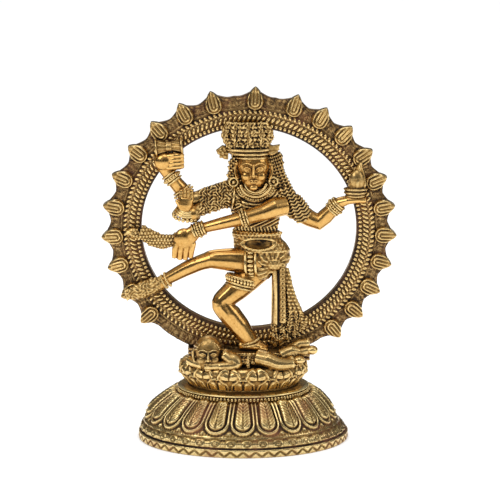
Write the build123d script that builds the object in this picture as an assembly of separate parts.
from build123d import *
import os
from math import cos, sin, radians, sqrt

# A cast brass nataraja: a four-armed dancer in a ring of flames, standing on a
# prone dwarf on a lotus seat, bolted down on a hollow oval base.
# Millimetres, +Z up, the dancer faces -Y. X = 0 is the middle of the ring, Y = 0
# the middle of its thickness, and Z = 0 the surface that the base stands on.

# ---------------------------------------------------------------- base
BASE_SHIFT = -4.0          # the base and lotus stand a little left of the ring
BASE_HALF_WIDTH = 73.0
BASE_HALF_DEPTH = 52.5
RIM_HEIGHT = 6.0
RIM_STEP = 2.0             # the dome starts this far in from the rim
BASE_HEIGHT = 32.0
BASE_TOP_HALF_WIDTH = 48.0
BASE_TOP_HALF_DEPTH = 34.5
DOME_ROUNDNESS = 1.7       # 1 is a straight slope, 2 a full bulge
BASE_WALL = 3.2
BASE_ROOF = 4.0

# ---------------------------------------------------------------- cornice and lotus seat
CORNICE_HALF_WIDTH = 46.2
CORNICE_HALF_DEPTH = 33.4
CORNICE_HEIGHT = 7.0
CORNICE_EDGE = 1.4
NECK_HALF_WIDTH = 38.0
NECK_HALF_DEPTH = 27.0
NECK_HEIGHT = 1.6
LOTUS_HALF_WIDTH = 44.6
LOTUS_HALF_DEPTH = 32.0
LOTUS_FOOT_SHARE = 0.89    # the lotus tapers to this share of its width at the foot
LOTUS_HEIGHT = 15.0        # neck not counted

# ---------------------------------------------------------------- fixing under the base
STUD_RADIUS = 3.0
STUD_IN_LOTUS = 10.0
STUD_SPARE = 3.0           # thread left below the nut
STUD_CLEARANCE = 0.3
NUT_ACROSS_FLATS = 10.0
NUT_HEIGHT = 5.0
WASHER_RADIUS = 9.0
WASHER_HEIGHT = 1.6

# ---------------------------------------------------------------- ring of flames
RING_INNER_HALF_WIDTH = 73.5
RING_INNER_HALF_HEIGHT = 70.0
RING_BAND = 21.5
RING_THICKNESS = 9.0
RING_EDGE = 2.4            # bevel on the front of the band
RING_SEAT = 1.0            # gap that the saddle fills between lotus and band
SADDLE_HALF_WIDTH = 41.5
SADDLE_HEIGHT = 13.0
SADDLE_THICKNESS = 13.0
TENON_WIDTH = 26.0
TENON_THICKNESS = 5.0
TENON_DEPTH = 7.0
FLAME_RADIUS = 5.6
FLAME_LENGTH = 15.0
FLAME_REACH = 5.6          # how far a flame's tip stands out past the band
FLAME_FORWARD = 1.5        # the buds' middles stand this far in front of the band's
TOP_FLAME_ANGLE = 2.6      # degrees from the top, positive towards +X
RIGHT_FLAMES = 11
RIGHT_FIRST_ANGLE = 19.4
RIGHT_FLAME_PITCH = 12.2
LEFT_FLAMES = 10
LEFT_FIRST_ANGLE = 15.0
LEFT_FLAME_PITCH = 13.05

# ---------------------------------------------------------------- dancer
# The dancer is drawn about the ring's middle, for the ring's own size. FIGURE_X and
# FIGURE_Z stretch the drawing when the ring changes, and FIGURE thickens it.
DRAWN_HALF_WIDTH = 73.5
DRAWN_HALF_HEIGHT = 70.0
DRAWN_FRONT = 4.5          # the band's front face in the drawing, in front of its middle
SOLE_DROP = 83.0           # the sole of the standing foot, below the ring's middle
ORNAMENT_THICKNESS = 1.1   # wall of cuffs, bangles and belt

LOTUS_FOOT_Z = BASE_HEIGHT + CORNICE_HEIGHT + NECK_HEIGHT
LOTUS_TOP_Z = LOTUS_FOOT_Z + LOTUS_HEIGHT
RING_OUTER_HALF_WIDTH = RING_INNER_HALF_WIDTH + RING_BAND
RING_OUTER_HALF_HEIGHT = RING_INNER_HALF_HEIGHT + RING_BAND
RING_MIDDLE_Z = LOTUS_TOP_Z + RING_SEAT + RING_OUTER_HALF_HEIGHT
RING_FRONT = -RING_THICKNESS / 2
RING_BACK = RING_THICKNESS / 2
FIGURE_X = RING_INNER_HALF_WIDTH / DRAWN_HALF_WIDTH
FIGURE_Z = RING_INNER_HALF_HEIGHT / DRAWN_HALF_HEIGHT
FIGURE = sqrt(FIGURE_X * FIGURE_Z)
SOLE_Z = RING_MIDDLE_Z - SOLE_DROP * FIGURE_Z


def whole(shape):
    """The largest solid of a cut shape."""
    return max(shape.solids(), key=lambda solid: solid.volume)


class Piece:
    """A finished solid and its box, so that pieces far away are passed over quickly."""

    def __init__(self, solid):
        self.solid = solid
        self.box = solid.bounding_box()

    def near(self, box):
        return (box.min.X < self.box.max.X and self.box.min.X < box.max.X
                and box.min.Y < self.box.max.Y and self.box.min.Y < box.max.Y
                and box.min.Z < self.box.max.Z and self.box.min.Z < box.max.Z)


def seated(shape, *neighbours):
    """The shape cut back to sit face to face on pieces that are already in place."""
    box = shape.bounding_box()
    for other in neighbours:
        if other.near(box):
            shape = shape - other.solid
    return Piece(whole(shape))


def oval(half_width, half_depth, z):
    return Pos(BASE_SHIFT, 0, z) * Ellipse(half_width, half_depth)


def oval_plate(half_width, half_depth, z_low, z_high):
    return extrude(oval(half_width, half_depth, z_low), z_high - z_low)


def drawn(x, y, z):
    """A point of the dancer, from the ring's middle. Depths are kept from the band's front face."""
    return Vector(x * FIGURE_X, RING_FRONT + (y + DRAWN_FRONT) * FIGURE, RING_MIDDLE_Z + z * FIGURE_Z)


def section(point, along, across, deep):
    """An ellipse square to the line of a limb: across lies in the ring's plane."""
    side = Vector(0, 1, 0).cross(along)
    if side.length < 0.2 * along.length:
        side = Vector(1, 0, 0)
    return Plane(origin=point, x_dir=side, z_dir=along) * Ellipse(across * FIGURE, deep * FIGURE)


def limb(*stations):
    """A lofted limb. Each station is (x, y, z, half width, half depth)."""
    points = [drawn(*station[:3]) for station in stations]
    last = len(points) - 1
    rings = []
    for i, station in enumerate(stations):
        along = points[min(i + 1, last)] - points[max(i - 1, 0)]
        rings.append(section(points[i], along, station[3], station[4]))
    return loft(rings, ruled=True)


def stack(*levels):
    """A lofted trunk of level ovals. Each level is (x, y, z, half width, half depth)."""
    return loft([Pos(drawn(x, y, z)) * Ellipse(wide * FIGURE_X, deep * FIGURE)
                 for x, y, z, wide, deep in levels], ruled=True)


def band(x, y, z, along, half_width, half_depth, height):
    """A flat-ended oval band round a limb, with its middle at the point."""
    place = Plane(origin=drawn(x, y, z), x_dir=Vector(0, 1, 0).cross(Vector(*along)), z_dir=Vector(*along))
    return place * extrude(Ellipse(half_width * FIGURE, half_depth * FIGURE), height * FIGURE / 2, both=True)


def ball(x, y, z, radius):
    return Pos(drawn(x, y, z)) * Sphere(radius * FIGURE)


def finger(start, end, thick, thin):
    """A tapered finger with a round tip."""
    a, b = drawn(*start), drawn(*end)
    shaft = loft([section(a, b - a, thick, thick), section(b, b - a, thin, thin)])
    return shaft + Pos(b) * Sphere(thin * FIGURE)


def slab(outline, y_front, y_back):
    """A flat casting cut to an outline of (x, z) points of the dancer."""
    corners = [drawn(x, y_front, z) for x, z in outline]
    face = make_face(Polyline(*corners, close=True))
    return extrude(face, (y_back - y_front) * FIGURE, dir=(0, 1, 0))


def hoop(x, y, z, along, radius, thick):
    """A plain ring whose axis points along."""
    place = Plane(origin=drawn(x, y, z), z_dir=Vector(*along))
    return place * Torus(radius * FIGURE, thick * FIGURE)


# ---------------------------------------------------------------- base pieces
def dome(half_width, half_depth, top_half_width, top_half_depth, z_low, z_high):
    """The bulging slope of the base as a loft of ovals."""
    steps = 6
    ovals = []
    for i in range(steps + 1):
        t = i / steps
        reach = 1 - t ** DOME_ROUNDNESS
        ovals.append(oval(
            top_half_width + (half_width - top_half_width) * reach,
            top_half_depth + (half_depth - top_half_depth) * reach,
            z_low + (z_high - z_low) * t))
    return loft(ovals)


def make_base_shell():
    outside = oval_plate(BASE_HALF_WIDTH, BASE_HALF_DEPTH, 0, RIM_HEIGHT) + dome(
        BASE_HALF_WIDTH - RIM_STEP, BASE_HALF_DEPTH - RIM_STEP,
        BASE_TOP_HALF_WIDTH, BASE_TOP_HALF_DEPTH, RIM_HEIGHT, BASE_HEIGHT)
    inset = RIM_STEP + BASE_WALL
    hollow = dome(
        BASE_HALF_WIDTH - inset, BASE_HALF_DEPTH - inset,
        BASE_TOP_HALF_WIDTH - BASE_WALL, BASE_TOP_HALF_DEPTH - BASE_WALL,
        RIM_HEIGHT, BASE_HEIGHT - BASE_ROOF)
    mouth = oval_plate(BASE_HALF_WIDTH - inset, BASE_HALF_DEPTH - inset, 0, RIM_HEIGHT)
    hole = Pos(BASE_SHIFT, 0, BASE_HEIGHT) * Cylinder(
        STUD_RADIUS + STUD_CLEARANCE, 4 * BASE_ROOF)
    return whole(outside - hollow - mouth - hole)


def make_cornice():
    plate = oval_plate(CORNICE_HALF_WIDTH, CORNICE_HALF_DEPTH,
                       BASE_HEIGHT, BASE_HEIGHT + CORNICE_HEIGHT)
    plate = fillet(plate.edges(), CORNICE_EDGE)
    hole = Pos(BASE_SHIFT, 0, BASE_HEIGHT) * Cylinder(
        STUD_RADIUS + STUD_CLEARANCE, 4 * CORNICE_HEIGHT)
    return whole(plate - hole)


def make_lotus():
    neck = oval_plate(NECK_HALF_WIDTH, NECK_HALF_DEPTH, LOTUS_FOOT_Z - NECK_HEIGHT, LOTUS_FOOT_Z)
    ovals = []
    for height, share in ((0, LOTUS_FOOT_SHARE), (0.45, 0.965), (0.85, 1.0), (1, 0.97)):
        ovals.append(oval(LOTUS_HALF_WIDTH * share, LOTUS_HALF_DEPTH * share,
                          LOTUS_FOOT_Z + LOTUS_HEIGHT * height))
    thread = Pos(BASE_SHIFT, 0, stud_top_z() / 2) * Cylinder(STUD_RADIUS, stud_top_z())
    slot = Pos(0, 0, LOTUS_TOP_Z) * Box(TENON_WIDTH, TENON_THICKNESS, 2 * TENON_DEPTH)
    return whole(neck + loft(ovals) - thread - slot)


def stud_top_z():
    """The top of the blind thread, kept clear of the ring's tenon."""
    return min(LOTUS_FOOT_Z - NECK_HEIGHT + STUD_IN_LOTUS, LOTUS_TOP_Z - TENON_DEPTH - 1)


def make_fixing():
    """The stud, washer and nut that hold lotus, cornice and base together."""
    roof = BASE_HEIGHT - BASE_ROOF
    nut_foot = roof - WASHER_HEIGHT - NUT_HEIGHT
    foot = nut_foot - STUD_SPARE
    stud = Pos(BASE_SHIFT, 0, (foot + stud_top_z()) / 2) * Cylinder(STUD_RADIUS, stud_top_z() - foot)
    washer = Pos(BASE_SHIFT, 0, roof - WASHER_HEIGHT / 2) * (
        Cylinder(WASHER_RADIUS, WASHER_HEIGHT)
        - Cylinder(STUD_RADIUS + STUD_CLEARANCE, WASHER_HEIGHT))
    flats = RegularPolygon(NUT_ACROSS_FLATS / 2, 6, major_radius=False)
    nut = Pos(BASE_SHIFT, 0, nut_foot) * (
        extrude(flats, NUT_HEIGHT) - Pos(0, 0, NUT_HEIGHT / 2) * Cylinder(STUD_RADIUS, NUT_HEIGHT))
    return {"fixing_stud": stud, "fixing_washer": washer, "fixing_nut": nut}


# ---------------------------------------------------------------- ring pieces
def ring_oval(half_width, half_height, y_front, y_back):
    face = Plane(origin=(0, y_back, RING_MIDDLE_Z), x_dir=(1, 0, 0), z_dir=(0, -1, 0)) * Ellipse(
        half_width, half_height)
    return extrude(face, y_back - y_front)


def make_ring():
    band = ring_oval(RING_OUTER_HALF_WIDTH, RING_OUTER_HALF_HEIGHT, RING_FRONT, RING_BACK)
    band -= ring_oval(RING_INNER_HALF_WIDTH, RING_INNER_HALF_HEIGHT, RING_FRONT - 1, RING_BACK + 1)
    front_edges = band.edges().filter_by(lambda e: abs(e.center().Y - RING_FRONT) < 0.1)
    band = chamfer(front_edges, RING_EDGE)
    top = RING_MIDDLE_Z - RING_OUTER_HALF_HEIGHT + RING_BAND / 2
    foot = LOTUS_TOP_Z - TENON_DEPTH
    tenon = Pos(0, 0, (top + foot) / 2) * Box(TENON_WIDTH, TENON_THICKNESS, top - foot)
    return whole(band + tenon)


def make_saddle(ring):
    block = Pos(0, 0, LOTUS_TOP_Z + SADDLE_HEIGHT / 2) * Box(
        2 * SADDLE_HALF_WIDTH, SADDLE_THICKNESS, SADDLE_HEIGHT)
    bed = ring_oval(RING_OUTER_HALF_WIDTH, RING_OUTER_HALF_HEIGHT,
                    -SADDLE_THICKNESS, SADDLE_THICKNESS)
    return whole(block - bed - ring)


def flame_angles():
    """Every flame's angle from the top, positive towards +X."""
    right = [RIGHT_FIRST_ANGLE + i * RIGHT_FLAME_PITCH for i in range(RIGHT_FLAMES)]
    left = [-LEFT_FIRST_ANGLE - i * LEFT_FLAME_PITCH for i in range(LEFT_FLAMES)]
    return [TOP_FLAME_ANGLE] + right + left


def make_flames(ring):
    """Pointed buds round the band: turned, flat at the back, one solid each."""
    foot = -FLAME_LENGTH + FLAME_REACH
    outline = Line((0, foot), (0, FLAME_REACH)) + Spline(
        (0, FLAME_REACH), (FLAME_RADIUS * 0.55, FLAME_REACH - FLAME_LENGTH * 0.3),
        (FLAME_RADIUS, foot + FLAME_LENGTH * 0.36), (0, foot),
        tangents=[(0.5, -1), (-1, 0)])
    bud = revolve(make_face(outline), Axis.Y)
    room = 4 * FLAME_LENGTH
    behind = Pos(0, 0, RING_BACK + room / 2) * Box(room, room, room)
    bud = Pos(0, 0, -FLAME_FORWARD) * bud - behind
    flames = []
    for angle in flame_angles():
        turn = radians(angle)
        edge = Vector(RING_OUTER_HALF_WIDTH * sin(turn), 0,
                      RING_MIDDLE_Z + RING_OUTER_HALF_HEIGHT * cos(turn))
        outward = Vector(sin(turn), 0, cos(turn))
        place = Plane(origin=edge, x_dir=outward.cross(Vector(0, 1, 0)), z_dir=(0, 1, 0))
        flames.append(whole(place * bud - ring))
    return flames


# ---------------------------------------------------------------- dwarf under the foot
def low(x, y, z):
    """A point of the dwarf: x from the lotus's middle, z as a share of the dwarf's height."""
    height = SOLE_Z - LOTUS_TOP_Z
    return Vector(BASE_SHIFT + x * LOTUS_HALF_WIDTH / 44.6, y * LOTUS_HALF_DEPTH / 32.0,
                  LOTUS_TOP_Z + z * height)


def dwarf_limb(*stations):
    """A lofted limb of the dwarf. Each station is (x, y, z share, half width, half depth)."""
    points = [low(*station[:3]) for station in stations]
    last = len(points) - 1
    rings = []
    for i, station in enumerate(stations):
        along = points[min(i + 1, last)] - points[max(i - 1, 0)]
        rings.append(section(points[i], along, station[3], station[4]))
    return loft(rings, ruled=True)


def make_dwarf():
    deck = extrude(Pos(low(5, -15.5, 0)) * RectangleRounded(66, 12, 4), SOLE_Z - LOTUS_TOP_Z)
    body = dwarf_limb((-17, -15, 0.46, 3.4, 6), (-8, -16, 0.42, 3.8, 7.5), (6, -16.5, 0.4, 3.6, 7.6),
                      (18, -16, 0.42, 3.8, 7), (27, -15, 0.46, 3.2, 6)) + deck
    head = Pos(low(-26, -18, 0.84)) * scale(Sphere(1), by=(8.0, 7.2, 9.0))
    near_arm = dwarf_limb((-13, -22.5, 0.95, 3.0, 3.2), (-8.5, -24, 0.6, 3.6, 3.4),
                          (-7.5, -24.6, 0.22, 3.2, 3.0)) + dwarf_limb(
        (-7.5, -24.6, 0.24, 2.6, 2.8), (-15, -25.5, 0.2, 2.5, 2.6), (-24, -25, 0.14, 2.2, 2.6))
    far_arm = dwarf_limb((-36, -15, 0.3, 2.6, 3.2), (-33, -19, 0.22, 2.6, 2.8),
                         (-28, -23, 0.16, 2.3, 2.5))
    near_leg = dwarf_limb((17, -22, 0.62, 4.2, 3.6), (20, -24, 0.3, 4.4, 3.8),
                          (27, -24, 0.2, 3.2, 3.2), (34, -21, 0.55, 2.6, 2.8))
    far_leg = dwarf_limb((27, -15, 0.75, 3.4, 3.6), (34, -14, 1.15, 3.2, 3.0),
                         (39, -13.5, 1.5, 2.6, 2.6), (45, -13.5, 1.55, 2.9, 3.2))
    return {"dwarf_body": body, "dwarf_head": head, "dwarf_near_arm": near_arm,
            "dwarf_far_arm": far_arm, "dwarf_near_leg": near_leg, "dwarf_far_leg": far_leg}


# ---------------------------------------------------------------- the dancer's pieces
def make_torso():
    """Chest, shoulders and the neck that the head is set on."""
    chest = stack((4.6, -3, -3, 14.2, 7.6), (5, -3, 6, 15.4, 8.2), (4.9, -3, 15, 17.5, 8.6),
                  (5.4, -3, 22, 16.5, 7), (5.4, -3, 27.5, 6, 5.5))
    neck = stack((4.6, -3.6, 22, 5.4, 5), (3.4, -4.4, 36, 5, 4.6))
    return chest + neck


def make_hips():
    return stack((12.8, -3, -29, 10.5, 8), (10.4, -3.4, -20, 17.8, 9.6),
                 (7.4, -3.2, -11, 17.4, 9), (4.6, -3, -3, 14.6, 7.8))


def make_head():
    return stack((3.1, -6.4, 29.4, 2.6, 2.6), (3.1, -6.2, 31.6, 6.2, 5.8), (3.1, -5.8, 36, 9.6, 8),
                 (3.1, -5.5, 42, 10.9, 8.8), (3.1, -5.3, 49, 10.6, 8.6), (3.1, -5, 56, 8.4, 7.2))


def make_headdress():
    return stack((-0.4, -5, 53.5, 15.8, 8.4), (-0.8, -5, 60, 15.2, 7.8),
                 (-1, -5, 66, 14.6, 7), (-1.2, -5.4, 73, 14.8, 5))


def make_side_locks():
    """The fan of matted hair that falls from the head to the back left arm."""
    return slab([(17, 55), (22.5, 52), (24, 39), (33.5, 20), (44, 10), (42.5, 3.6),
                 (29, 3.2), (23, 10), (18, 26), (13, 30), (13.5, 44)], -7, -1.5)


def make_raised_leg():
    """Thigh, knee, shin and foot in one sweep, with the toes up on the ring."""
    return limb((11, -4, -23.4, 8.4, 7.4), (-1, -7, -22.8, 7.6, 7), (-14, -10, -20.6, 6.6, 6.4),
                (-26.4, -12, -19.4, 5.6, 5.6), (-34, -11.4, -22, 4.9, 5), (-44, -10.2, -27.4, 4, 4.4),
                (-57, -8.7, -34.8, 3.1, 3.5), (-65, -9, -39.5, 3.7, 3.6), (-73, -8.8, -43, 4, 3.2),
                (-80, -8.2, -45, 3.2, 2.6), (-84, -7.6, -45.8, 1.8, 1.6))


def make_standing_leg():
    leg = limb((7.5, -4, -27, 9, 8), (-0.5, -6, -34, 8.8, 8), (-8.5, -8.5, -41, 8, 7.6),
               (-17.2, -10.4, -49.6, 7.2, 6.8), (-12.6, -11, -57.5, 6.8, 7), (-6, -11, -66, 6.2, 6.3),
               (0.4, -11, -76, 5, 5.2), (2, -11, -80.5, 5, 5.4))
    foot = limb((-6.4, -11, -79.6, 2.8, 3.6), (0, -11.6, -79.2, 3.8, 4.8), (6.5, -12.6, -80.2, 2.9, 4.4),
                (12.5, -13.6, -81.4, 1.7, 3.4))
    return leg + foot


def make_front_left_arm():
    """The arm that swings across the chest and hangs its hand over the raised leg."""
    hand = limb((24.5, -9, 17.5, 6.2, 5.6), (17, -12.5, 16.6, 6.4, 5.6), (8.9, -14.6, 13.6, 5.2, 5),
                (-2.7, -15.4, 10.4, 4.3, 4.3), (-18.5, -15, 6.4, 3.7, 3.7), (-31.6, -14, 2.8, 3, 3),
                (-37, -14.2, 0.2, 4.6, 2.8), (-42, -14, -4, 5.7, 2.7), (-44.6, -13.4, -9, 5.6, 2.2))
    for i in range(4):
        knuckle = -50 + 3.6 * i
        reach = -16.4 - 1.2 * (i in (1, 2))
        hand += finger((knuckle + 1, -13.4, -7.4), (knuckle - 1.4, -12.6, reach), 1.6, 1.2)
    hand += finger((-38.6, -14, -3), (-38, -13.4, -10.4), 1.7, 1.3)
    return hand


def make_front_right_arm():
    """The bent arm whose open hand is raised in front of the chest."""
    upper = limb((-8, -5, 22.4, 5.4, 5.4), (-18, -6.8, 20.4, 4.7, 5), (-32, -9.2, 15.4, 4.5, 4.6),
                 (-37.4, -10, 13, 4.2, 4.4))
    hand = limb((-38.4, -10.6, 10, 3.6, 3.8), (-42, -12, 11.6, 4.2, 4), (-43.4, -13, 15, 3.7, 3.2),
                (-43, -13.8, 19, 4.7, 2.4), (-42.4, -13.8, 23.4, 4.4, 1.9))
    for i in range(4):
        knuckle = -45.8 + 2.3 * i
        reach = 28.4 + 1.0 * (i in (1, 2))
        hand += finger((knuckle, -13.8, 22), (knuckle + 0.2, -13.6, reach), 1.15, 0.9)
    hand += finger((-46, -14, 17), (-48.6, -14.4, 21.6), 1.2, 0.95)
    return upper + ball(-38.2, -10.6, 12, 5.6) + hand


def make_back_right_arm():
    """The arm that holds the drum against the ring."""
    hand = limb((-7, -1.5, 26, 6.4, 5), (-22, -2.4, 25, 5.4, 5), (-33, -3.4, 21, 5.2, 4.8),
                (-39.6, -4.2, 20.6, 5.4, 4.8), (-43.5, -5, 25, 5, 4.6), (-49, -6.4, 32, 4.4, 4.2),
                (-55, -8.2, 40.2, 4, 3.8), (-57.4, -8.8, 45, 5, 3.4), (-57, -9.2, 50.4, 4.6, 3))
    for i in range(4):
        hand += finger((-54.5, -10.2, 50.6 - 2.3 * i), (-46.4, -9.8, 51.6 - 2.5 * i), 1.35, 1.1)
    return hand


def make_back_left_arm():
    """The arm that holds the fire out on its palm."""
    return limb((22, -3, 19, 6.6, 5.4), (34, -3.4, 12, 6, 5), (42, -4.2, 7.4, 5.2, 4.8),
                (47.6, -4.8, 5.4, 5.4, 4.8), (52, -5.4, 9.2, 5, 4.6), (57, -6.6, 14.6, 4.3, 4.2),
                (61.8, -8, 19.4, 3.5, 3.7), (67, -8.8, 21.4, 2.7, 4.1), (73, -8.8, 21.8, 2.3, 4.2),
                (79, -8.4, 21.4, 1.6, 3.4))


def make_drum():
    """The hourglass drum: two cups that meet at a narrow waist."""
    half = 9.0 * FIGURE
    wide, waist = 5.0 * FIGURE, 2.6 * FIGURE
    cup = Pos(0, 0, half / 2) * Cone(waist, wide, half)
    body = cup + Rot(180, 0, 0) * cup
    place = Plane(origin=drawn(-54, -9, 57.8), z_dir=(1, 0, 0.1))
    return place * body


def make_fire():
    """A shallow bowl on the palm with one tall flame."""
    bowl = limb((72, -9, 23.4, 4.4, 3.6), (72, -9.2, 25.6, 6.6, 4.6), (72.2, -9.2, 29.8, 6.8, 4.8))
    tongue = limb((72.4, -9.2, 29.6, 5.6, 4.2), (73, -9, 35, 5.4, 3.8), (74.4, -8.6, 41, 3.4, 2.8),
                  (76, -8, 47, 0.9, 0.9))
    return bowl + tongue


def make_snake():
    """The snake that hangs from the lowered hand to the ring."""
    body = limb((-45.6, -10, -4.6, 2.4, 2.2), (-52, -10, -8, 2.8, 2.6), (-59, -9.4, -9.6, 3, 2.8),
                (-66, -8.6, -8, 3.1, 2.8), (-72, -8, -3.6, 3, 2.8), (-78, -7.8, -1.2, 3.2, 2.9),
                (-83, -7.4, -1.4, 1.6, 1.6))
    return body


def make_sashes():
    front = slab([(15.6, -24), (25.6, -24), (26.8, -66), (27.4, -78), (18, -82), (15.2, -79)], -9.6, -4.6)
    side = slab([(24.5, -25), (26.6, -33), (28.8, -42), (33, -53), (38.6, -60), (39, -67),
                 (32, -73), (26.4, -70)], -8.6, -4.6)
    return {"front_sash": front, "side_sash": side}


def make_pieces():
    """Every piece by name, each seated on those placed before it."""
    ring = make_ring()
    flames = [Piece(flame) for flame in make_flames(ring)]
    pieces = {"base_shell": make_base_shell(), "cornice_plate": make_cornice(),
              "lotus_seat": make_lotus(), "flame_ring": ring, "ring_saddle": make_saddle(ring)}
    pieces = {name: Piece(solid) for name, solid in pieces.items()}
    ground = [pieces[name] for name in ("lotus_seat", "ring_saddle", "flame_ring")]
    for name, shape in make_dwarf().items():
        pieces[name] = seated(shape, *ground)
        ground.append(pieces[name])
    placed = ground + flames
    for name, shape in make_dancer():
        pieces[name] = seated(shape, *placed)
        placed.append(pieces[name])

    solids = {name: piece.solid for name, piece in pieces.items()}
    solids["ring_flames"] = Compound(children=[flame.solid for flame in flames])
    solids.update(make_fixing())
    return solids


def make_dancer():
    """The dancer's pieces in the order that they are cut to fit each other."""
    yield "torso", make_torso()
    yield "skirt", make_hips()
    yield "head", make_head()
    yield "headdress", make_headdress()
    yield "raised_leg", make_raised_leg()
    yield "standing_leg", make_standing_leg()
    yield "back_right_arm", make_back_right_arm()
    yield "back_left_arm", make_back_left_arm()
    yield "front_right_arm", make_front_right_arm()
    yield "front_left_arm", make_front_left_arm()
    yield "hair_locks", make_side_locks()
    yield "damaru_drum", make_drum()
    yield "fire_bowl", make_fire()
    yield "snake", make_snake()
    yield from make_sashes().items()
    yield from make_ornaments().items()


def make_ornaments():
    """Raised bands, hoops and beads that are soldered round the limbs."""
    wall = ORNAMENT_THICKNESS
    return {
        "waist_belt": band(5.4, -3.2, -3.6, (0.06, 0, 1), 15 + wall, 8 + wall, 5),
        "raised_thigh_cuff": band(1.4, -6.4, -23, (1, -0.1, 0.05), 7.8 + wall, 7.4 + wall, 5.2),
        "standing_thigh_cuff": band(-5.6, -7.6, -36, (0.26, 0.1, 0.97), 10.4 + wall, 8.6 + wall, 6),
        "necklace": hoop(4.6, -4.6, 24.6, (0, -0.75, 0.66), 9.2, 2.0),
        "right_earring": hoop(-9.6, -8, 34, (0.35, -1, 0), 2.6, 0.9),
        "left_earring": hoop(15.6, -8, 34.6, (-0.35, -1, 0), 2.6, 0.9),
        "front_left_armlet": limb((2.2, -15.2, 11.7, 4.9 + wall, 4.9 + wall),
                                  (-2.8, -15.5, 10.3, 4.4 + wall, 4.4 + wall)),
        "front_left_bangle": limb((-26, -14.5, 4.2, 3.3 + wall, 3.3 + wall),
                                  (-31, -14.1, 2.9, 3.0 + wall, 3.0 + wall)),
        "back_right_armlet": limb((-43, -5, 24, 5 + wall, 4.8 + wall),
                                  (-45.6, -5.6, 27.4, 4.8 + wall, 4.6 + wall)),
        "back_right_bangle": limb((-50.8, -7, 34.6, 4.3 + wall, 4.1 + wall),
                                  (-53.6, -7.8, 38.6, 4.1 + wall, 3.9 + wall)),
        "back_left_bangle": limb((57, -6.6, 14.6, 4.3 + wall, 4.2 + wall),
                                 (60.4, -7.4, 18.4, 3.9 + wall, 3.9 + wall)),
        "raised_anklet": limb((-54.4, -9, -33.4, 3.3 + wall, 3.6 + wall),
                              (-57.4, -8.7, -35, 3.1 + wall, 3.4 + wall)),
        "standing_anklet": limb((0.2, -11, -75.8, 4.5 + wall, 5 + wall),
                                (1.6, -11, -78.6, 4.4 + wall, 5 + wall)),
        "crescent_ornament": slab([(13, 54), (20, 56.4), (21, 59.4), (16, 58.6), (13, 60)], -10, -6),
        "hair_flower": slab([(-14, 49), (-17, 49.4), (-22.4, 55), (-18, 58.4), (-14, 57.6)], -9, -4),
    }


def main():
    os.makedirs("parts", exist_ok=True)
    for name, shape in make_pieces().items():
        export_step(shape, f"parts/{name}.step")


main()
